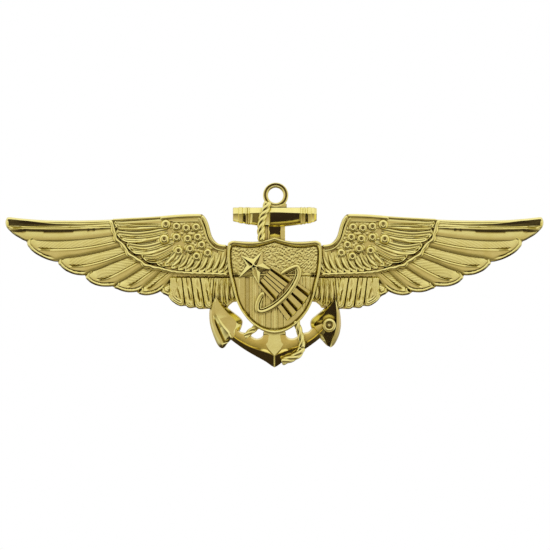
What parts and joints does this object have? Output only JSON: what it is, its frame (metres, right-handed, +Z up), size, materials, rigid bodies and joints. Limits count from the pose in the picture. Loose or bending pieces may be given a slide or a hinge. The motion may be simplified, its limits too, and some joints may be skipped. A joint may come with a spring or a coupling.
{
  "type": "pilot wings pin",
  "caption": "Gold metal flight badge: feathered wings behind a shield and fouled anchor, with shooting star and orbit, pinned by posts with butterfly clutches.",
  "frame": {"origin": "on the flat back of the anchor's shank, midway between the two posts", "axes": "+X along the span towards the wing on the right of the front view, +Y out of the back towards the wearer, +Z up as worn; the front faces -Y"},
  "size_m": [0.0702, 0.011, 0.0241],
  "materials": {
    "polished_gold": "polished pale gold plate",
    "stippled_gold": "pale gold plate, stippled field above polished stripes",
    "fittings": "plain gold plate",
    "clutch_brass": "bright stamped sheet brass"
  },
  "bodies": {
    "badge": {"left_wing": "polished_gold", "right_wing": "polished_gold", "anchor": "polished_gold", "anchor_stock": "polished_gold", "anchor_ring": "polished_gold", "rope_upper": "polished_gold", "rope_left": "polished_gold", "rope_right": "polished_gold", "shield": "stippled_gold", "shooting_star": "polished_gold", "orbit": "polished_gold", "left_post_pad": "fittings", "right_post_pad": "fittings", "left_post": "fittings", "right_post": "fittings"},
    "left_clutch": {"left_clutch_dish": "clutch_brass", "left_clutch_cap": "clutch_brass"},
    "left_upper_lever": {"left_upper_jaw": "clutch_brass"},
    "left_lower_lever": {"left_lower_jaw": "clutch_brass"},
    "right_clutch": {"right_clutch_dish": "clutch_brass", "right_clutch_cap": "clutch_brass"},
    "right_upper_lever": {"right_upper_jaw": "clutch_brass"},
    "right_lower_lever": {"right_lower_jaw": "clutch_brass"}
  },
  "joints": [
    {"name": "left_clutch_pull", "type": "slide", "parent": "badge", "child": "left_clutch", "axis": [0, 1, 0], "range_m": [0, 0.012]},
    {"name": "right_clutch_pull", "type": "slide", "parent": "badge", "child": "right_clutch", "axis": [0, 1, 0], "range_m": [0, 0.012]},
    {"name": "left_clutch_squeeze", "type": "hinge", "parent": "left_clutch", "child": "left_upper_lever", "pos_m": [-0.0122, 0.0046, 0.0027], "axis": [-1, 0, 0], "range_deg": [0, 12], "stiffness_Nm_per_rad": 0.02, "springref_deg": -2.86},
    {"name": "left_clutch_squeeze_lower", "type": "hinge", "parent": "left_clutch", "child": "left_lower_lever", "pos_m": [-0.0122, 0.0046, -0.0027], "axis": [1, 0, 0], "range_deg": [0, 12], "stiffness_Nm_per_rad": 0.02, "springref_deg": -2.86},
    {"name": "right_clutch_squeeze", "type": "hinge", "parent": "right_clutch", "child": "right_upper_lever", "pos_m": [0.0122, 0.0046, 0.0027], "axis": [-1, 0, 0], "range_deg": [0, 12], "stiffness_Nm_per_rad": 0.02, "springref_deg": -2.86},
    {"name": "right_clutch_squeeze_lower", "type": "hinge", "parent": "right_clutch", "child": "right_lower_lever", "pos_m": [0.0122, 0.0046, -0.0027], "axis": [1, 0, 0], "range_deg": [0, 12], "stiffness_Nm_per_rad": 0.02, "springref_deg": -2.86}
  ]
}
